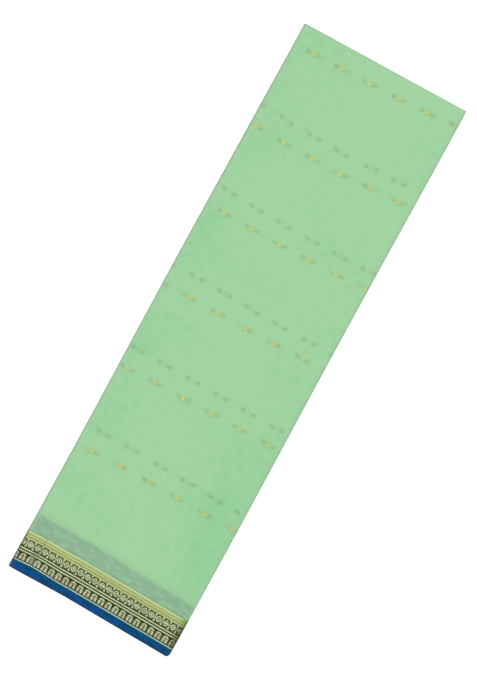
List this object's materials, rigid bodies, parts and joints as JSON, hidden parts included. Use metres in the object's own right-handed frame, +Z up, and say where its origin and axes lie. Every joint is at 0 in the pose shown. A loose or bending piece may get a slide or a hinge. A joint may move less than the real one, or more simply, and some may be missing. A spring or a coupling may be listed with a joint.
{
  "type": "folded silk sari",
  "caption": "Silk sari with a woven brocade border and small woven motifs, folded into a flat oblong stack that lies on a surface.",
  "frame": {"origin": "centre of the stack's footprint, on its underside", "axes": "+Y along the stack towards the end where the cloth is folded across its width, -Y towards its two woven borders, +Z up, the face that shows on top"},
  "size_m": [0.1758, 0.5918, 0.0228],
  "materials": {
    "silk": "soft satin weave with metallic thread"
  },
  "bodies": {
    "root": {"sari": "silk"}
  },
  "joints": []
}
